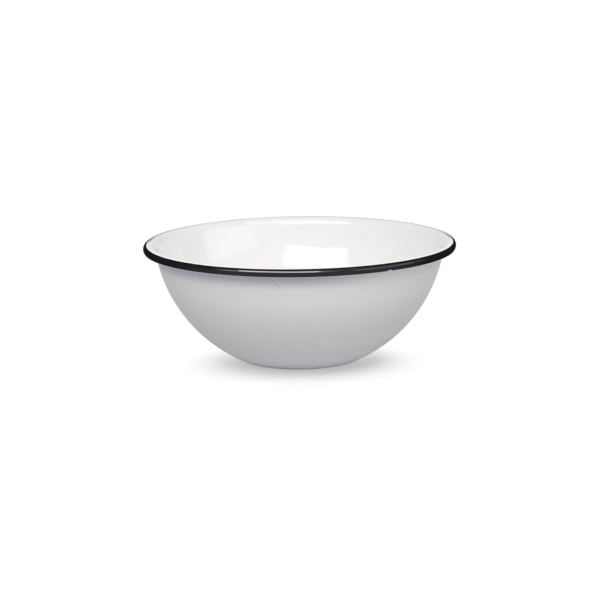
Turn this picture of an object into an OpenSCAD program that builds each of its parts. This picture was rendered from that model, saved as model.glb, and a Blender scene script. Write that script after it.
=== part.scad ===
// Enamelled steel basin bowl with a rolled rim.
//
// One sheet of steel is drawn into a round bowl and its edge is curled outwards into a hollow bead.
// The steel is dipped in a dark base enamel, then coated white inside and over the bead, and a
// thinner grey-white outside. A black band is laid over the white on the bead. Every layer here is
// its own solid of revolution, and lies face to face on the one below it. The bowl stands on z = 0
// with its axis along z. Sizes are in mm.

/* [Bowl] */
// Outside diameter over the rolled rim and its black band
rim_d = 240; // [180:1:320]
// Height from the table to the crown of the rim
bowl_h = 91; // [70:1:120]
// Diameter of the flat foot that the bowl stands on
foot_d = 88; // [72:1:110]
// Outside radius of the corner between the foot and the wall
foot_r = 8; // [4:0.5:14]

/* [Raised centre of the base] */
// Diameter of the raised disc inside the foot
dish_d = 56; // [30:1:60]
// Height that the disc is pressed up
dish_h = 1; // [0.4:0.1:2]
// Radius of the two bends around the disc
dish_bend_r = 6; // [3:0.5:9]

/* [Rolled rim] */
// Diameter of the rolled bead over its white enamel
bead_d = 7.2; // [5:0.1:8.5]
// Radius of the lip that flares from the wall to the crown, over its enamel
flare_r = 7; // [6:0.1:10]
// Gap between the cut edge of the curl and the enamel under the lip
curl_gap = 0.15; // [0.1:0.05:1]

/* [Steel and enamel] */
// Thickness of the steel sheet
steel_t = 0.6; // [0.4:0.05:0.9]
// Thickness of the dark base enamel on each side of the steel
base_t = 0.12; // [0.08:0.01:0.2]
// Thickness of the white enamel on the inside and over the bead
lining_t = 0.2; // [0.12:0.01:0.35]
// Thickness of the grey-white enamel on the outside
outer_t = 0.16; // [0.12:0.01:0.35]
// Lower end of the white enamel on the bead, in degrees below the widest line of the bead
lining_low_a = 150; // [115:1:170]

/* [Black band] */
// Thickness of the black enamel on the bead
band_t = 0.12; // [0.08:0.01:0.25]
// Upper edge of the band, in degrees above the widest line of the bead
band_top_a = 58; // [5:1:80]
// Lower edge of the band, in degrees below the widest line of the bead
band_low_a = 42; // [5:1:100]

/* [Hidden] */

// Steps of the drawn arcs, in degrees: the long curve of the wall, and the tight bends
wall_step = 2.5;
bend_step = 10;
turn_facets = 144;

// Reach of the outside coats under the lip, in degrees past the crown
base_reach_a = 36;
outer_reach_a = 58;

// Depths through the sheet, from the finished inside surface to the finished outside surface
at_band = -band_t;
at_lining = 0;
at_base_in = lining_t;
at_steel_in = at_base_in + base_t;
at_steel_out = at_steel_in + steel_t;
at_base_out = at_steel_out + base_t;
at_outer = at_base_out + outer_t;

// Centres of the arcs, as [radius, height]; every layer shares them
bead_r = bead_d / 2;
bead_c = [rim_d / 2 - band_t - bead_r, bowl_h - bead_r];
flare_c = [bead_c.x, bowl_h - flare_r];
foot_c = [foot_d / 2, foot_r];
dish_in_c = [dish_d / 2, at_outer + dish_h - dish_bend_r];
dish_a = acos(1 - dish_h / (2 * dish_bend_r));
dish_out_c = [dish_in_c.x + 2 * dish_bend_r * sin(dish_a), at_outer + dish_bend_r];

// The wall is a sphere about the axis, whose outside is tangent to the foot corner and whose inside is
// tangent to the lip. Taking one condition from the other puts its centre at a height of
// wall_slope * wall_r + wall_rise, and then quad_a * wall_r^2 + quad_b * wall_r + quad_c = 0.
lip_under_r = flare_r - at_outer;
centre_drop = 2 * (foot_c.y - flare_c.y);
wall_slope = 2 * (lip_under_r + foot_r) / centre_drop;
wall_rise = (lip_under_r ^ 2 - foot_r ^ 2 + foot_c * foot_c - flare_c * flare_c) / centre_drop;
quad_a = wall_slope ^ 2 - 1;
quad_b = 2 * (wall_slope * (wall_rise - foot_c.y) + foot_r);
quad_c = (wall_rise - foot_c.y) ^ 2 + foot_c.x ^ 2 - foot_r ^ 2;
wall_r = (-quad_b - sqrt(quad_b ^ 2 - 4 * quad_a * quad_c)) / (2 * quad_a);
wall_c = [0, wall_slope * wall_r + wall_rise];

// Angles from straight down to where the wall meets the foot corner and the lip
foot_a = atan2(foot_c.x, wall_c.y - foot_c.y);
lip_a = atan2(flare_c.x, wall_c.y - flare_c.y);

// Angle on the bead at which the curl ends, tucked up under the lip. There the enamelled curl is
// curl_gap away from the enamel on the lip's underside, both measured from the lip's centre.
curl_r = bead_r - at_base_in;
curl_rise = flare_r - bead_r;
curl_limit_r = flare_r - at_base_out - curl_gap;
cut_edge_a = -180 - asin((curl_limit_r ^ 2 - curl_r ^ 2 - curl_rise ^ 2) / (2 * curl_r * curl_rise));

// Angles at which a layer ends under the lip and on the bead, in order along the sheet. Every layer
// has points at all the stops that it passes, so that neighbours share one line.
lip_stops = [90 + lip_a, 90 + outer_reach_a, 90 + base_reach_a, 90];
to_outer_reach = 1;
to_base_reach = 2;
to_crown = 3;
bead_stops = [90, band_top_a, 0, -band_low_a, -lining_low_a, cut_edge_a];
from_crown = 0;
at_band_top = 1;
at_band_low = 3;
at_lining_low = 4;
at_cut_edge = 5;

function polar(centre, radius, angle) = centre + radius * [cos(angle), sin(angle)];

// The points of an arc after its first one, which ends the stretch before it
function bend(centre, radius, from, to, step) =
    let (n = max(1, ceil(abs(to - from) / step)))
    [for (i = [1 : n]) polar(centre, radius, from + (to - from) * i / n)];

function reversed(points) = [for (i = [len(points) - 1 : -1 : 0]) points[i]];

// The points of a chain of arcs about one centre, from one numbered stop to another
function arcs(centre, radius, stops, first, last) =
    [for (i = [first : last - 1]) each bend(centre, radius, stops[i], stops[i + 1], bend_step)];

// The line of the surface at a depth through the sheet, from the axis out over the foot and the wall
// to a stop under the lip
function wall_line(depth, lip_stop) = concat(
    [[0, dish_in_c.y + dish_bend_r - depth], polar(dish_in_c, dish_bend_r - depth, 90)],
    bend(dish_in_c, dish_bend_r - depth, 90, 90 - dish_a, bend_step),
    bend(dish_out_c, dish_bend_r + depth, 270 - dish_a, 270, bend_step),
    [polar(foot_c, foot_r - at_outer + depth, 270)],
    bend(foot_c, foot_r - at_outer + depth, 270, 270 + foot_a, bend_step),
    bend(wall_c, wall_r - at_outer + depth, 270 + foot_a, 270 + lip_a, wall_step),
    arcs(flare_c, flare_r - depth, lip_stops, 0, lip_stop)
);

// The same line carried over the crown to a stop on the bead
function rim_line(depth, bead_stop) = concat(
    wall_line(depth, to_crown),
    arcs(bead_c, bead_r - depth, bead_stops, from_crown, bead_stop)
);

// The line of the black band alone
function band_line(depth) = concat(
    [polar(bead_c, bead_r - depth, band_top_a)],
    arcs(bead_c, bead_r - depth, bead_stops, at_band_top, at_band_low)
);

// The ring between two lines, turned about the axis
module layer(near_line, far_line) {
    rotate_extrude($fn = turn_facets) polygon(concat(near_line, reversed(far_line)));
}

// The drawn bowl with its curled edge
module steel_shell() {
    color("slategray") layer(rim_line(at_steel_in, at_cut_edge), rim_line(at_steel_out, at_cut_edge));
}

// Base enamel on the inside, carried round the bead to the cut edge of the sheet
module base_enamel_inside() {
    color([0.10, 0.11, 0.15])
        layer(rim_line(at_base_in, at_cut_edge), rim_line(at_steel_in, at_cut_edge));
}

// Base enamel on the outside, up into the groove behind the bead
module base_enamel_outside() {
    color([0.10, 0.11, 0.15])
        layer(wall_line(at_steel_out, to_base_reach), wall_line(at_base_out, to_base_reach));
}

// White enamel on the inside, carried over the crown, under the black band and on round the bead
module white_lining() {
    color([0.96, 0.955, 0.945])
        layer(rim_line(at_lining, at_lining_low), rim_line(at_base_in, at_lining_low));
}

// Grey-white enamel on the outside, from the foot up under the lip
module outer_enamel() {
    color([0.82, 0.82, 0.82])
        layer(wall_line(at_base_out, to_outer_reach), wall_line(at_outer, to_outer_reach));
}

// Black enamel round the outside of the bead
module rim_band() {
    color([0.09, 0.085, 0.095]) layer(band_line(at_band), band_line(at_lining));
}

steel_shell();
base_enamel_inside();
base_enamel_outside();
white_lining();
outer_enamel();
rim_band();
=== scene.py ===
# %% [markdown]
# # An enamelled basin bowl
#
# The real bowl is one sheet of steel, pressed into a deep round shape, with its edge rolled outwards into
# a bead. Glass is fused over it: a thick white coat inside and over the bead, a thinner grey-white coat
# outside, and a black band round the outer face of the bead.
#
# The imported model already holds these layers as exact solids, so the lesson starts by loading it as a
# fixed frame. The coats that show are then drawn again as smooth meshes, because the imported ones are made
# of flat bands, and a glossy surface shows every band in its reflections.

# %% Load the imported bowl
import math

import bmesh
import bpy
from mathutils import Matrix, Vector, noise


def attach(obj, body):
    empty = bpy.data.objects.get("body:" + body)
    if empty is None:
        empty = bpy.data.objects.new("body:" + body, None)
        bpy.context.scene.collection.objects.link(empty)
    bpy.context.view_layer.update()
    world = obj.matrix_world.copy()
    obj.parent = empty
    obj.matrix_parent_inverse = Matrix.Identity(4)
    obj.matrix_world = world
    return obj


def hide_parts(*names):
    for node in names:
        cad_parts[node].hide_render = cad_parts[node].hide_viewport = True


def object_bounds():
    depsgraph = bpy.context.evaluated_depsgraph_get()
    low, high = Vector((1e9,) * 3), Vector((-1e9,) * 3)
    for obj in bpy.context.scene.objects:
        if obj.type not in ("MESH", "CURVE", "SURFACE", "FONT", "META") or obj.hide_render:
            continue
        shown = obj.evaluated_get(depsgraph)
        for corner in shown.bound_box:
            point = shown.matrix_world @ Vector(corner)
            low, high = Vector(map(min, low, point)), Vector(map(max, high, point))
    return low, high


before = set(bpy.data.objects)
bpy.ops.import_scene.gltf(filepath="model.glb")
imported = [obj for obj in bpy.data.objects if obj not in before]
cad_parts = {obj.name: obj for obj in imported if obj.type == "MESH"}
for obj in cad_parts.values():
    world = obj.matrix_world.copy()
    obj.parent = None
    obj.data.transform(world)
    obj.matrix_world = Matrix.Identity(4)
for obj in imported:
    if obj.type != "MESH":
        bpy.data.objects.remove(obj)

cad_low, cad_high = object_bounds()
print("nodes:", sorted(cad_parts))
print("box of the solids:", [round(v, 5) for v in cad_low], [round(v, 5) for v in cad_high])

# %% [markdown]
# ## Sizes
#
# A pressed bowl is described by the few arcs of its section: the flat foot, the corner where the wall
# starts, the long arc of the wall, the lip that flares outwards, and the rolled bead. The overall width
# and height come from the frame. The rest are the designer's sizes, in millimetres, turned into metres.
# Points of the section lie in the XZ plane, so X is a radius and Z a height.

# %% Sizes of the section
mm = 0.001
rim_radius = cad_high.x
bowl_height = cad_high.z
foot_radius = 44 * mm
foot_corner = 8 * mm
dish_radius = 28 * mm
dish_height = 1 * mm
dish_bend = 6 * mm
bead_radius = 3.6 * mm
lip_radius = 7 * mm
band_thickness = 0.12 * mm
lining_thickness = 0.2 * mm
outer_thickness = 0.16 * mm
wall_thickness = 1.2 * mm

bead_centre = Vector((rim_radius - band_thickness - bead_radius, 0, bowl_height - bead_radius))
lip_centre = Vector((bead_centre.x, 0, bowl_height - lip_radius))
foot_centre = Vector((foot_radius, 0, foot_corner))
dish_turn = math.acos(1 - dish_height / (2 * dish_bend))
dish_in_centre = Vector((dish_radius, 0, wall_thickness + dish_height - dish_bend))
dish_out_centre = dish_in_centre + Vector((2 * math.sin(dish_turn), 0, 2 * math.cos(dish_turn))) * dish_bend
print("bead centre:", [round(v / mm, 2) for v in bead_centre], "mm")

# %% [markdown]
# The wall is an arc about the bowl's axis. Its outside touches the corner of the foot, and its inside
# touches the lip, without a kink at either. Each of the two is a condition on the arc's radius and on the
# height of its centre. One way to meet both is to try a radius, take the height from the foot, and see by
# how much the lip is missed. Halving the range again and again finds the radius that misses by nothing.

# %% Find the arc of the wall
def wall_height(radius):
    """Height of the wall's centre when its outside touches the corner of the foot."""
    return foot_centre.z + math.sqrt((radius - foot_corner) ** 2 - foot_radius ** 2)


def lip_miss(radius):
    """How far the wall's arc is from touching the lip."""
    reach = math.hypot(lip_centre.x, wall_height(radius) - lip_centre.z)
    return reach - (radius + lip_radius - wall_thickness)


small = 0.8 * rim_radius
large = 1.2 * rim_radius
halvings = 60
for _ in range(halvings):
    middle = (small + large) / 2
    if lip_miss(middle) > 0:
        small = middle
    else:
        large = middle
wall_radius = middle
wall_centre = Vector((0, 0, wall_height(wall_radius)))
foot_turn = math.atan2(foot_radius, wall_centre.z - foot_centre.z)
lip_turn = math.atan2(lip_centre.x, wall_centre.z - lip_centre.z)
print("wall radius %.3f mm, centre at %.3f mm" % (wall_radius / mm, wall_centre.z / mm))

# %% [markdown]
# ## A compass for the section
#
# On paper, this section would be drawn with a compass: the pencil is swung about one centre, then about
# the next. The bmesh spin operator does the same with a single vertex. Because every coat is swung about
# the same centres, a line that starts at some depth in the sheet stays at that depth all the way, so one
# function draws the inside, the outside and everything between. A turn towards +X from the top is
# positive, which is how a spin about +Y turns.

# %% Compass helpers
dish_steps = 6
corner_steps = 10
wall_steps = 64
weld_distance = 0.001 * mm


def swing(bm, point, centre, turn, steps):
    """Swings the line's last point about a centre and returns the new last point."""
    arc = bmesh.ops.spin(bm, geom=[point], cent=centre, axis=(0, 1, 0), angle=turn, steps=steps)
    return next(v for v in arc["geom_last"] if isinstance(v, bmesh.types.BMVert))


def straight(bm, point, radius):
    """Draws the line level to a radius and returns its new last point."""
    end = bmesh.ops.extrude_vert_indiv(bm, verts=[point])["verts"][0]
    end.co.x = radius
    return end


def draw_wall_line(bm, depth):
    """Draws the line at a depth in the sheet, from the axis over the foot and up the wall to the lip."""
    point = bm.verts.new((0, 0, dish_in_centre.z + dish_bend - depth))
    point = straight(bm, point, dish_in_centre.x)
    point = swing(bm, point, dish_in_centre, dish_turn, dish_steps)
    point = swing(bm, point, dish_out_centre, -dish_turn, dish_steps)
    point = straight(bm, point, foot_centre.x)
    point = swing(bm, point, foot_centre, -foot_turn, corner_steps)
    return swing(bm, point, wall_centre, foot_turn - lip_turn, wall_steps)


def turn_line(bm, steps):
    """Turns the drawn line once about the bowl's axis and closes the seam and the pole."""
    bmesh.ops.spin(bm, geom=bm.verts[:] + bm.edges[:], cent=(0, 0, 0), axis=(0, 0, 1),
                   angle=math.tau, steps=steps, use_merge=True)
    bmesh.ops.remove_doubles(bm, verts=bm.verts[:], dist=weld_distance)
    bmesh.ops.recalc_face_normals(bm, faces=bm.faces[:])


# %% [markdown]
# A coat is a thin shell, so the turned surface gets its thickness from the solidify operator. It has to
# know which side is the finished one: the middle of the lining looks up, and the middle of the outside
# coat looks down. A turned surface can come out either way round, so the faces are turned over where
# they look the wrong way. Fused glass is never dead even, and the last helper lets the finished surface
# sink here and there by a few hundredths of a millimetre, which makes reflections waver as they do on
# enamel. It never rises, so the bowl keeps its size.

# %% Coat helpers
sharp_angle = math.radians(40)
sink_depth = 0.1 * mm


def face_the_coat(bm, up):
    """Makes the faces of a turned surface look the way that its middle should: up or down."""
    middle_face = min(bm.faces, key=lambda f: f.calc_center_median().xy.length)
    if (middle_face.normal.z > 0) != up:
        bmesh.ops.reverse_faces(bm, faces=bm.faces[:])


def sink(bm, size):
    """Moves each point in along its normal by a slow noise, whose lumps are about a size apart."""
    bm.normal_update()
    for vert in bm.verts:
        vert.co -= vert.normal * sink_depth * (1 + noise.noise(vert.co / size)) / 2


def make_piece(name, bm, node):
    """Makes an object of a mesh, in the place of the CAD node that it stands for."""
    mesh = bpy.data.meshes.new(name)
    bm.to_mesh(mesh)
    bm.free()
    mesh.shade_smooth()
    mesh.set_sharp_from_angle(angle=sharp_angle)
    piece = bpy.data.objects.new(name, mesh)
    bpy.context.scene.collection.objects.link(piece)
    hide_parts(node)
    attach(piece, "root")
    mesh.calc_loop_triangles()
    print(name, "has", len(mesh.loop_triangles), "triangles")
    return piece


# %% [markdown]
# ## The white lining
#
# The white coat covers the whole inside, rolls over the crown and runs on round the bead to its
# underside, where the dark base enamel comes out from beneath it. The line therefore goes on from the
# wall: over the lip, then round the bead. The real coat is sprayed or poured as a slip and fired. Here the
# line at depth 0 is turned and thickened by the coat's thickness towards the steel.

# %% Turn the lining
lining_end = math.radians(150)
lining_wave = 26 * mm
quarter = math.pi / 2
lip_steps = 14
bead_steps = 30
coat_turns = 256
bm = bmesh.new()
point = draw_wall_line(bm, 0)
point = swing(bm, point, lip_centre, lip_turn, lip_steps)
swing(bm, point, bead_centre, quarter + lining_end, bead_steps)
turn_line(bm, coat_turns)
face_the_coat(bm, up=True)
sink(bm, lining_wave)
bmesh.ops.solidify(bm, geom=bm.faces[:], thickness=lining_thickness)
lining = make_piece("enamel_lining", bm, "white_lining")

# %% [markdown]
# ## The outside coat
#
# The outside is a thinner grey-white coat that ends under the lip, where the spray no longer reaches. It
# is the same line at the depth of the outside face, carried only part of the way round the lip.

# %% Turn the outside coat
outer_end = math.radians(58)
outer_wave = 22 * mm
outer_lip_steps = 6
bm = bmesh.new()
point = draw_wall_line(bm, wall_thickness)
swing(bm, point, lip_centre, lip_turn - outer_end, outer_lip_steps)
turn_line(bm, coat_turns)
face_the_coat(bm, up=False)
sink(bm, outer_wave)
bmesh.ops.solidify(bm, geom=bm.faces[:], thickness=outer_thickness)
outside = make_piece("enamel_outside", bm, "outer_enamel")

# %% [markdown]
# ## The black band
#
# The edging is black enamel laid over the white on the outer face of the bead, as by rolling the rim along
# a wet pad. Its edges are soft and wander a little, it climbs higher on both sides of the bowl, and there
# is a small notch in its lower edge, as if the end of the roll had met its start there.
#
# The band is an arc of the bead's section, turned in fine steps, thickened, and rounded along its two
# edges with a bevel. Then each point is slid round the bead. The slide is full at an edge and nothing in
# the middle of the band, so the black keeps its thickness and stays on the bead.

# %% Turn the band
band_top = math.radians(58)
band_low = math.radians(-42)
band_rise = 0.08 * mm
band_face = bead_radius + band_rise
band_steps = 12
band_turns = 900
bm = bmesh.new()
start = bead_centre + Vector((math.cos(band_top), 0, math.sin(band_top))) * band_face
swing(bm, bm.verts.new(start), bead_centre, band_top - band_low, band_steps)
turn_line(bm, band_turns)
outward_face = max(bm.faces, key=lambda f: f.calc_center_median().xy.length)
if outward_face.normal.dot(outward_face.calc_center_median()) < 0:
    bmesh.ops.reverse_faces(bm, faces=bm.faces[:])
bmesh.ops.solidify(bm, geom=bm.faces[:], thickness=band_rise)
print("band points before its edges are rounded:", len(bm.verts))

# %% Round the band's edges
edge_round = 0.06 * mm
edge_segments = 3
angle_slack = 0.01


def on_bead(co):
    """Direction from the front towards +X, outward direction, and angle on the bead of a point."""
    outward = Vector((co.x, co.y, 0)).normalized()
    radius = co.xy.length - bead_centre.x
    return math.atan2(co.x, -co.y), outward, math.atan2(co.z - bead_centre.z, radius)


def is_band_edge(edge):
    """True for the edges that run round the outer face where the band begins and ends."""
    for vert in edge.verts:
        angle = on_bead(vert.co)[2]
        radius = math.hypot(vert.co.xy.length - bead_centre.x, vert.co.z - bead_centre.z)
        at_end = min(abs(angle - band_top), abs(angle - band_low)) < angle_slack
        if not at_end or radius < band_face - band_rise / 2:
            return False
    return True


band_edges = [edge for edge in bm.edges if is_band_edge(edge)]
bmesh.ops.bevel(bm, geom=band_edges, offset=edge_round, offset_type="OFFSET", affect="EDGES",
                segments=edge_segments, profile=0.5, material=-1)
print("band points:", len(bm.verts))

# %% Let the edges wander
# Where round the bowl the upper edge is raised, by how much and over what spread, in degrees
top_rises = ((-103, 12, 32), (12, 6.5, 38), (-92, 8.5, 9), (92, 18, 9))
notch_place = math.radians(33.3)
notch_ramp = math.radians(2.4)
notch_step = math.radians(0.5)
notch_rise = math.radians(20)
wander = math.radians(1.6)
top_waves = 2.2
low_waves = 2.6
top_seed = 0.3
low_seed = 7.1


def waver(turn, waves, seed):
    """A slow noise that meets itself after a full turn."""
    return wander * noise.noise((waves * math.sin(turn), waves * math.cos(turn), seed))


def ease(t):
    """A smooth rise from 0 to 1."""
    t = min(max(t, 0), 1)
    return t * t * (3 - 2 * t)


def top_slide(turn):
    """How far the upper edge is slid up the bead at a turn round the bowl."""
    raised = 0
    for side, rise, spread in top_rises:
        off_side = math.degrees(math.remainder(turn - math.radians(side), math.tau))
        raised += math.radians(rise) * math.exp(-(off_side / spread) ** 2)
    return raised + waver(turn, top_waves, top_seed)


def low_slide(turn):
    """How far the lower edge is slid up the bead at a turn round the bowl."""
    past = math.remainder(turn - notch_place, math.tau)
    if past < 0:
        notch = ease(1 + past / notch_ramp) ** 2
    else:
        notch = 1 - ease(past / notch_step)
    return notch_rise * notch + waver(turn, low_waves, low_seed)


band_middle = (band_top + band_low) / 2
band_half = (band_top - band_low) / 2
for vert in bm.verts:
    turn, outward, angle = on_bead(vert.co)
    share = (angle - band_middle) / band_half
    slide = share * top_slide(turn) if share > 0 else -share * low_slide(turn)
    centre = outward * bead_centre.x + Vector((0, 0, bead_centre.z))
    across = outward.cross(Vector((0, 0, 1)))
    vert.co = centre + Matrix.Rotation(slide, 3, across) @ (vert.co - centre)
band = make_piece("enamel_band", bm, "rim_band")

# %% [markdown]
# ## Writing finishes as sums
#
# A finish is a network of nodes. Wiring it by hand hides what it does, so this small class wraps a socket
# and lets Python's own signs add the Math nodes: 1 - mask is then a node that subtracts. Everything else
# comes from one method, which takes a node's type, its settings, and the values or links of its sockets.

# %% Shader helpers
class Wire:
    """An output socket. Sums written with it add Math nodes to its finish."""

    def __init__(self, finish, socket):
        self.finish = finish
        self.socket = socket

    def sum(self, operation, first, second):
        return self.finish.node("ShaderNodeMath", {"operation": operation}, {0: first, 1: second})

    def __add__(self, other):
        return self.sum("ADD", self, other)

    def __radd__(self, other):
        return self.sum("ADD", other, self)

    def __sub__(self, other):
        return self.sum("SUBTRACT", self, other)

    def __rsub__(self, other):
        return self.sum("SUBTRACT", other, self)

    def __mul__(self, other):
        return self.sum("MULTIPLY", self, other)

    def __rmul__(self, other):
        return self.sum("MULTIPLY", other, self)


class Finish:
    """A node tree with short ways to add nodes to it."""

    def __init__(self, tree):
        self.tree = tree

    def node(self, kind, settings=None, sockets=None, output=0):
        """Adds a node, sets it up, fills its sockets and returns one of its outputs."""
        made = self.tree.nodes.new(kind)
        for key, value in (settings or {}).items():
            setattr(made, key, value)
        for key, value in (sockets or {}).items():
            self.plug(made.inputs[key], value)
        return Wire(self, made.outputs[output])

    def plug(self, socket, value):
        """Links a wire to a socket, or sets the socket's own value."""
        if isinstance(value, Wire):
            self.tree.links.new(value.socket, socket)
        else:
            socket.default_value = value

    def object_point(self):
        """The place on the object, in metres from the centre of its foot."""
        return self.node("ShaderNodeTexCoord", output="Object")

    def axes(self, point):
        """How far a point is to the right, to the back and up, as three values."""
        return [self.node("ShaderNodeSeparateXYZ", None, {"Vector": point}, output=axis) for axis in "XYZ"]

    def distance(self, point, other):
        """How far a point is from another."""
        return self.node("ShaderNodeVectorMath", {"operation": "DISTANCE"}, {0: point, 1: other},
                         output="Value")

    def from_axis(self, point):
        """How far a point is from the bowl's axis."""
        level = self.node("ShaderNodeVectorMath", {"operation": "MULTIPLY"}, {0: point, 1: (1, 1, 0)})
        return self.distance(level, (0, 0, 0))

    def noise(self, point, size, detail=2.0):
        """A cloudy pattern from 0 to 1 whose lumps are about a size apart."""
        return self.node("ShaderNodeTexNoise", None, {"Vector": point, "Scale": 1 / size, "Detail": detail})

    def fade(self, value, start, end):
        """A smooth rise from 0 to 1 as a value goes from start to end."""
        return self.node("ShaderNodeMapRange", {"interpolation_type": "SMOOTHSTEP"},
                         {"Value": value, "From Min": start, "From Max": end})

    def between(self, value, rise, fall):
        """Goes from 0 to 1 over one range of a value and back to 0 over another."""
        return self.fade(value, *rise) * (1 - self.fade(value, *fall))

    def mix(self, share, first, second):
        """Goes from a first colour to a second one."""
        return self.node("ShaderNodeMix", {"data_type": "RGBA"}, {0: share, 6: first, 7: second}, output=2)

    def bump(self, height, depth):
        """The normal of a surface raised by a height from 0 to 1 of a depth."""
        return self.node("ShaderNodeBump", None, {"Height": height, "Distance": depth}, output="Normal")


def new_finish(name, **constants):
    """Makes a material whose shader has constant values. Returns it, its finish and its shader."""
    material = bpy.data.materials.new(name)
    material.use_nodes = True
    shader = material.node_tree.nodes["Principled BSDF"]
    for socket, value in constants.items():
        shader.inputs[socket.replace("_", " ")].default_value = value
    return material, Finish(material.node_tree), shader


# %% [markdown]
# ## White enamel
#
# The lining is opaque white glass with a warm cast. It is glossy, with slow clouds where the coat is thicker
# or thinner, and a fine unevenness that gives a mirrored light a soft, wavering edge. All of this could be
# painted on a picture and wrapped round the bowl. Here it comes from noise that follows the place on the
# bowl instead, so it has no seam and stays put when the camera moves.

# %% White enamel coat
lean_white = (0.860, 0.846, 0.838, 1)
full_white = (0.870, 0.857, 0.851, 1)
white, paint, shader = new_finish("white_enamel_finish", IOR=1.6)
place = paint.object_point()
clouds = paint.noise(place, 38 * mm)
peel = paint.noise(place, 2.4 * mm, 1.0)
ripple = paint.noise(place, 11 * mm, 1.0)
coat = paint.mix(clouds, lean_white, full_white)
paint.plug(shader.inputs["Roughness"], 0.06 + 0.05 * clouds)
paint.plug(shader.inputs["Normal"], paint.bump(0.12 * peel + 0.88 * ripple, 0.05 * mm))
lining.data.materials.append(white)
print(white.name, "covers", lining.name)

# %% [markdown]
# Round the rim, light and shade are painted into the white. Under the bead it is painted shade, darker and
# bluer, and darker on the left than on the right. On the far side the lip is painted greyer, as painted
# shade, and a painted grey line of shade follows its crown. On the near side the crown is painted whiter,
# as a painted highlight. Each of these is a mask made from the place on the bowl, and a colour that is
# mixed in where the mask is 1.

# %% White enamel round the rim
painted_bead_shade_left = (0.350, 0.373, 0.415, 1)
painted_bead_shade_right = (0.450, 0.452, 0.458, 1)
painted_far_lip_shade = (0.790, 0.778, 0.772, 1)
painted_crown_highlight = (0.970, 0.963, 0.958, 1)
painted_crown_shade_side = (0.20, 0.20, 0.20, 1)
painted_crown_shade_back = (0.54, 0.54, 0.54, 1)
to_right, to_back, height_up = paint.axes(place)
below_crown = bowl_height - height_up
below_bead_middle = bead_centre.z - height_up
far_side = paint.fade(to_back, -10 * mm, 30 * mm)

# Painted shade under the bead, darker on the left than on the right.
on_bead_side = paint.fade(paint.from_axis(place), bead_centre.x - 4 * mm, bead_centre.x - 2 * mm)
under_bead = on_bead_side * paint.fade(below_bead_middle, 0.8 * mm, 1.6 * mm)
painted_bead_shade = paint.mix(paint.fade(to_right, 0, 80 * mm), painted_bead_shade_left, painted_bead_shade_right)
coat = paint.mix(under_bead, coat, painted_bead_shade)

# Painted shade on the far side of the lip.
far_lip_shade_mask = far_side * (1 - paint.fade(below_crown, 2 * mm, 6 * mm))
coat = paint.mix(far_lip_shade_mask, coat, painted_far_lip_shade)
# A painted highlight along the near crown.
near_crown_highlight = (1 - far_side) * (1 - paint.fade(below_crown, 0.5 * mm, 1.2 * mm))
coat = paint.mix(near_crown_highlight, coat, painted_crown_highlight)
# A painted grey line of shade along the far crown, darkest towards the sides.
crown_shade_reach = paint.fade(to_back, -10 * mm, 16 * mm)
far_crown_shade_line = crown_shade_reach * (1 - paint.fade(below_crown, 0.1 * mm, 0.3 * mm))
painted_crown_shade = paint.mix(paint.fade(to_back, 8 * mm, 38 * mm), painted_crown_shade_side, painted_crown_shade_back)
paint.plug(shader.inputs["Base Color"], paint.mix(far_crown_shade_line, coat, painted_crown_shade))

# %% [markdown]
# ## Grey-white enamel
#
# Outside, the coat is a thin, cool grey-white over the dark base. It is darker and cooler lower down and
# paler and warmer higher up, which is partly painted shade. Round the corner of the foot it is painted
# lighter, as painted light against the shade where the bowl meets the floor, and under the lip it has
# painted shade, heavier on the left. Its sheen is dull, and it grows darker towards its outline. A shader's
# ordinary gloss would do the opposite and brighten the outline, so that is off. A weak tinted clear coat
# takes its place: at a slant, light passes through more of the tint.

# %% Grey-white enamel coat
shaded_low_grey = (0.600, 0.606, 0.618, 1)
warm_grey = (0.803, 0.787, 0.778, 1)
painted_foot_light_grey = (0.752, 0.763, 0.790, 1)
painted_corner_light = (0.900, 0.911, 0.925, 1)
painted_under_lip_shade = (0.482, 0.523, 0.590, 1)
grey, paint, shader = new_finish("outside_enamel_finish", Specular_IOR_Level=0.0, Coat_IOR=1.1,
                                 Coat_Roughness=0.3, Coat_Tint=(0.7, 0.7, 0.71, 1))
place = paint.object_point()
to_right, to_back, height_up = paint.axes(place)
clouds = paint.noise(place, 30 * mm)
# Darker lower down and paler higher up: partly painted shade.
warm_share = paint.fade(height_up, 24 * mm, 70 * mm) + 0.12 * clouds
coat = paint.mix(warm_share, shaded_low_grey, warm_grey)
# Painted light near the foot, against the shade where the bowl stands on the floor.
foot_light_share = 1 - paint.fade(height_up, 4 * mm, 20 * mm)
coat = paint.mix(foot_light_share, coat, painted_foot_light_grey)
# Painted light on the corner of the foot, where it turns under.
beyond_foot = paint.fade(paint.from_axis(place), foot_radius - 1 * mm, foot_radius + 3 * mm)
foot_edge_light = beyond_foot * (1 - paint.fade(height_up, 1.5 * mm, 8 * mm))
coat = paint.mix(foot_edge_light, coat, painted_corner_light)
# Painted shade under the lip, heavier on the left than on the right.
under_lip = paint.fade(height_up, 72 * mm, 83 * mm)
shade_share = 0.85 - 0.6 * paint.fade(to_right, 0, 70 * mm)
coat = paint.mix(shade_share * under_lip, coat, painted_under_lip_shade)
paint.plug(shader.inputs["Coat Weight"], 0.5 * paint.fade(height_up, 10 * mm, 60 * mm))
paint.plug(shader.inputs["Roughness"], 0.45 + 0.10 * clouds)
outside.data.materials.append(grey)
print(grey.name, "covers", outside.name)

# %% [markdown]
# Where bubbles broke in the kiln, tiny dark pinholes are left. A pinhole is the narrow fade of a distance.
# On the near half of the wall the marks that can be seen are put in one by one, each by its turn from the
# front in degrees, its height and its radius. On the far half they are scattered, from the distance to the
# points of a Voronoi texture, of which only those close to the surface show. The flat that the bowl stands
# on is scuffed by the table.

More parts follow.
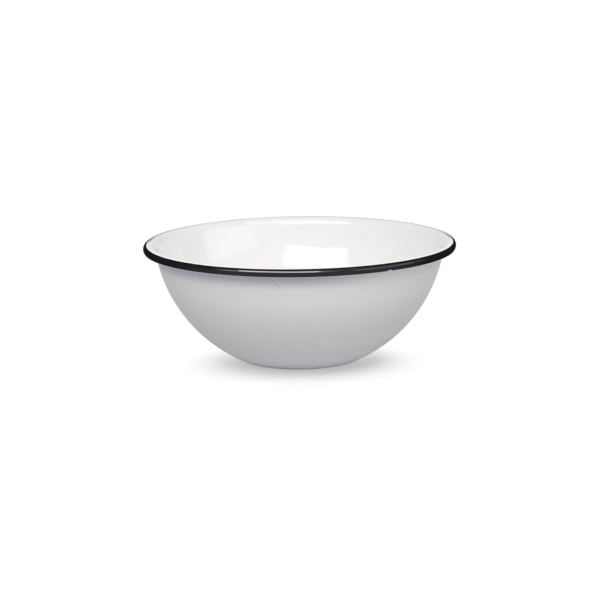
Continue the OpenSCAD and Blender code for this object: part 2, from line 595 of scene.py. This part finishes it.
# %% Pinholes and scuffs
specks = (
    (-8, 75.6, 0.7), (-9, 77.2, 0.5), (-10.4, 80.8, 0.6), (-14, 62.8, 0.5), (-19, 46.7, 0.6),
    (-2, 47.5, 0.5), (5, 40.4, 0.5), (3, 37, 0.5), (13.5, 36, 0.6), (4, 26, 0.6),
    (22, 41.7, 0.6), (37, 41.8, 0.5), (19, 29, 0.4), (53, 59, 0.5),
)
pinhole_dark = (0.12, 0.12, 0.13, 1)
scuff_grey = (0.42, 0.41, 0.40, 1)
hole_near = paint.node("ShaderNodeTexVoronoi", None, {"Vector": place, "Scale": 1 / (8 * mm)})
pinholes = paint.fade(to_back, -20 * mm, 20 * mm) * (1 - paint.fade(hole_near, 0.03, 0.06))
for turn, height, size in specks:
    reach = math.sqrt(wall_radius ** 2 - (wall_centre.z - height * mm) ** 2)
    turned = Matrix.Rotation(math.radians(turn), 3, "Z")
    spot = turned @ Vector((0, -reach, height * mm))
    from_spot = paint.distance(place, spot)
    pinholes = pinholes + (1 - paint.fade(from_spot, 0.2 * size * mm, size * mm))
coat = paint.mix(0.55 * pinholes, coat, pinhole_dark)
standing = 1 - paint.fade(height_up, 0.12 * mm, 0.3 * mm)
scuffs = standing * paint.fade(paint.noise(place, 1.4 * mm, 4.0), 0.46, 0.72)
paint.plug(shader.inputs["Base Color"], paint.mix(0.5 * scuffs, coat, scuff_grey))
peel = paint.noise(place, 2 * mm, 1.0)
ripple = paint.noise(place, 9 * mm, 1.0)
paint.plug(shader.inputs["Normal"], paint.bump(0.15 * peel + 0.85 * ripple - 0.5 * pinholes, 0.05 * mm))
print(len(specks), "marks on the near half")

# %% [markdown]
# ## Black enamel
#
# The band is nearly black glass with a trace of purple. Black shows its gloss more than its colour, and this
# gloss is uneven: a narrow strip along the front is clean and mirrors the light as a thin line, it is
# duller further right, and the rest is rubbed nearly matt. A rougher surface would only smear the light, so
# the base has no gloss of its own, and a clear coat is laid over it, more of it where the band is clean.

# %% Black enamel finish
deep_black = (0.008, 0.0066, 0.0092, 1)
rubbed_black = (0.013, 0.011, 0.0145, 1)
black, paint, shader = new_finish("black_enamel_finish", Specular_IOR_Level=0.0, Coat_IOR=2.6,
                                  Coat_Roughness=0.05)
place = paint.object_point()
to_right, to_back, height_up = paint.axes(place)
rubbed = paint.noise(place, 9 * mm, 3.0)
paint.plug(shader.inputs["Base Color"], paint.mix(rubbed, deep_black, rubbed_black))
paint.plug(shader.inputs["Roughness"], 0.04 + 0.06 * rubbed)
paint.plug(shader.inputs["Normal"], paint.bump(paint.noise(place, 5 * mm, 1.0), 0.04 * mm))
band.data.materials.append(black)
print(black.name, "covers", band.name)


# %% Gloss of the band
def on_band(degrees):
    """Height of the line on the band that lies this far above the widest line of the bead."""
    return bead_centre.z + band_face * math.sin(math.radians(degrees))


strip = paint.between(height_up, (on_band(11), on_band(16)), (on_band(28), on_band(33)))
clean_part = paint.between(to_right, (-64 * mm, -50 * mm), (14 * mm, 34 * mm))
dull_part = paint.between(to_right, (24 * mm, 44 * mm), (86 * mm, 98 * mm))
front_face = 1 - paint.fade(to_back, -115 * mm, -70 * mm)
lower_half = 1 - paint.fade(height_up, on_band(18), on_band(32))
gloss = 0.006 + front_face * (0.02 + 0.07 * lower_half)
gloss = gloss + strip * (0.8 * clean_part + 0.23 * dull_part)
paint.plug(shader.inputs["Coat Weight"], gloss)

# %% [markdown]
# ## Base enamel and steel
#
# The base coat bonds the glass to the steel. It is blue-black, and shows only in the groove behind the bead.
# The steel shows only as the cut edge of the sheet inside that groove: dull and grey, with a trace of rust
# brown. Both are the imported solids, with a better finish.

# %% Base enamel finish
base, paint, shader = new_finish("base_enamel_finish", IOR=1.52)
clouds = paint.noise(paint.object_point(), 6 * mm, 3.0)
base_dark = (0.010, 0.012, 0.022, 1)
base_pale = (0.022, 0.024, 0.036, 1)
paint.plug(shader.inputs["Base Color"], paint.mix(clouds, base_dark, base_pale))
paint.plug(shader.inputs["Roughness"], 0.15 + 0.15 * clouds)

# %% Steel finish
steel, paint, shader = new_finish("sheet_steel_finish", Metallic=1.0)
stain = paint.fade(paint.noise(paint.object_point(), 4 * mm, 4.0), 0.5, 0.75)
bare_steel = (0.42, 0.42, 0.43, 1)
rust_brown = (0.20, 0.12, 0.07, 1)
paint.plug(shader.inputs["Base Color"], paint.mix(stain, bare_steel, rust_brown))
paint.plug(shader.inputs["Roughness"], 0.38 + 0.35 * stain)

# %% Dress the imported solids
for node, finish in (("base_enamel_inside", base), ("base_enamel_outside", base), ("steel_shell", steel)):
    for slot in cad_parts[node].material_slots:
        slot.material = finish
    print(node, "wears", finish.name)

# %% [markdown]
# ## The camera
#
# The photograph looks slightly down into the bowl from a little over a metre and a half, through a long
# lens. The camera turns about the middle of the mouth, then tips down a little more, so that the bowl
# sits in the middle of the picture, and it leans by less than a degree.

# %% Camera
camera_distance = 1.6
camera_rise = math.radians(9.83)
camera_tip = math.radians(1.638)
camera_lean = math.radians(-0.853)
camera_yaw = math.radians(0.01)
camera_lens = 125
camera_data = bpy.data.cameras.new("camera")
camera_data.lens = camera_lens
camera = bpy.data.objects.new("camera", camera_data)
bpy.context.scene.collection.objects.link(camera)
mouth = Vector((0, 0, bowl_height))
away = Vector((0, -math.cos(camera_rise), math.sin(camera_rise)))
facing = (Matrix.Rotation(camera_yaw, 3, "Z")
          @ Matrix.Rotation(quarter - camera_rise - camera_tip, 3, "X")
          @ Matrix.Rotation(camera_lean, 3, "Z"))
camera.matrix_world = Matrix.Translation(mouth + away * camera_distance) @ facing.to_4x4()
bpy.context.scene.camera = camera
print("camera at", [round(v, 4) for v in camera.matrix_world.translation])

# %% [markdown]
# ## The studio
#
# Three soft lights and a plain pale room light the bowl. The key light stands behind the camera to the
# left: it makes the patch on the far side of the lining and the light line on the black. A light high above
# the camera fills the lip and the crown, and a dim one to the right makes the patch on the left. A softbox
# is a flat light whose size is given as the angle that it fills from the bowl, and whose radiance is how
# bright it looks there, so both can be read off a reflection.

# %% Softboxes
light_distance = 2.0


def softbox(name, azimuth, elevation, width, height, radiance):
    """A flat light that faces the bowl. Azimuth is from the front towards +X, all angles in degrees."""
    turn = math.radians(azimuth)
    rise = math.radians(elevation)
    toward = Vector((math.sin(turn) * math.cos(rise), -math.cos(turn) * math.cos(rise), math.sin(rise)))
    lamp = bpy.data.lights.new(name, "AREA")
    lamp.shape = "RECTANGLE"
    lamp.size = 2 * light_distance * math.tan(math.radians(width / 2))
    lamp.size_y = 2 * light_distance * math.tan(math.radians(height / 2))
    lamp.energy = radiance * math.pi * lamp.size * lamp.size_y
    light = bpy.data.objects.new(name, lamp)
    light.location = Vector((0, 0, bowl_height / 2)) + toward * light_distance
    light.rotation_euler = toward.to_track_quat("Z", "Y").to_euler()
    bpy.context.scene.collection.objects.link(light)
    print(name, "gives", round(lamp.energy, 1), "W")


softbox("key_softbox", azimuth=-16.5, elevation=38, width=51, height=18.4, radiance=3.1)
softbox("high_softbox", azimuth=0, elevation=65, width=60, height=24, radiance=2.15)
softbox("side_softbox", azimuth=64, elevation=14, width=48, height=24, radiance=1.06)

# %% [markdown]
# ## The floor
#
# The bowl stands on white paper. More light would make the paper white, but it would bleach the bowl as
# well. Instead the paper glows by itself, and only for what the camera sees directly and for reflections: it
# is pure white a short way out from the bowl, and near the foot it lets the bowl's own shadow through. Close
# to the foot some of the glow comes back, because the shadow in the photograph is soft right up to it.

# %% Lay the floor
floor_half = 15
bm = bmesh.new()
bmesh.ops.create_grid(bm, x_segments=1, y_segments=1, size=floor_half)
floor_mesh = bpy.data.meshes.new("floor")
bm.to_mesh(floor_mesh)
bm.free()
floor = bpy.data.objects.new("floor", floor_mesh)
bpy.context.scene.collection.objects.link(floor)
print("floor is", round(floor.dimensions.x, 1), "m wide")

# %% White paper
paper, paint, shader = new_finish("white_paper", Base_Color=(0.85, 0.85, 0.85, 1), Roughness=0.9,
                                  Specular_IOR_Level=0.0)
seen = paint.node("ShaderNodeLightPath", output="Is Camera Ray")
mirrored = paint.node("ShaderNodeLightPath", output="Is Glossy Ray")
through = paint.node("ShaderNodeLightPath", output="Is Transmission Ray")
looked_at = seen + mirrored + through

shadow_middle = (1 * mm, -25 * mm, 0)
shadow_squeeze = (0.81, 1, 1)
foot_glow = 0.5
place = paint.object_point()
squeezed = paint.node("ShaderNodeVectorMath", {"operation": "MULTIPLY"}, {0: place, 1: shadow_squeeze})
far_out = paint.fade(paint.distance(squeezed, shadow_middle), 23 * mm, 79 * mm)
by_foot = 1 - paint.fade(paint.from_axis(place), foot_radius - 10 * mm, foot_radius + 24 * mm)
glow_share = far_out + (1 - far_out) * foot_glow * by_foot

glow = paint.node("ShaderNodeEmission", None, {"Color": (1, 1, 1, 1), "Strength": 1.0})
plain = Wire(paint, shader.outputs["BSDF"])
blend = paint.node("ShaderNodeMixShader", None, {0: looked_at * glow_share, 1: plain, 2: glow})
paint.plug(paper.node_tree.nodes["Material Output"].inputs["Surface"], blend)
floor_mesh.materials.append(paper)
print("the shadow is kept around", [round(v / mm, 1) for v in shadow_middle], "mm")

# %% World
room_strength = 0.58
world = bpy.data.worlds.new("pale_room")
world.use_nodes = True
bpy.context.scene.world = world
paint = Finish(world.node_tree)
room = paint.node("ShaderNodeBackground", None, {"Color": (1, 1, 1, 1), "Strength": room_strength})
paint.plug(world.node_tree.nodes["World Output"].inputs["Surface"], room)
print("the room's light comes from", world.name)

# %% [markdown]
# ## Picture settings
#
# The Standard view shows a colour about as it is written, without a film-like curve over it.

# %% Picture settings
bpy.context.scene.view_settings.view_transform = "Standard"
print("view transform:", bpy.context.scene.view_settings.view_transform)
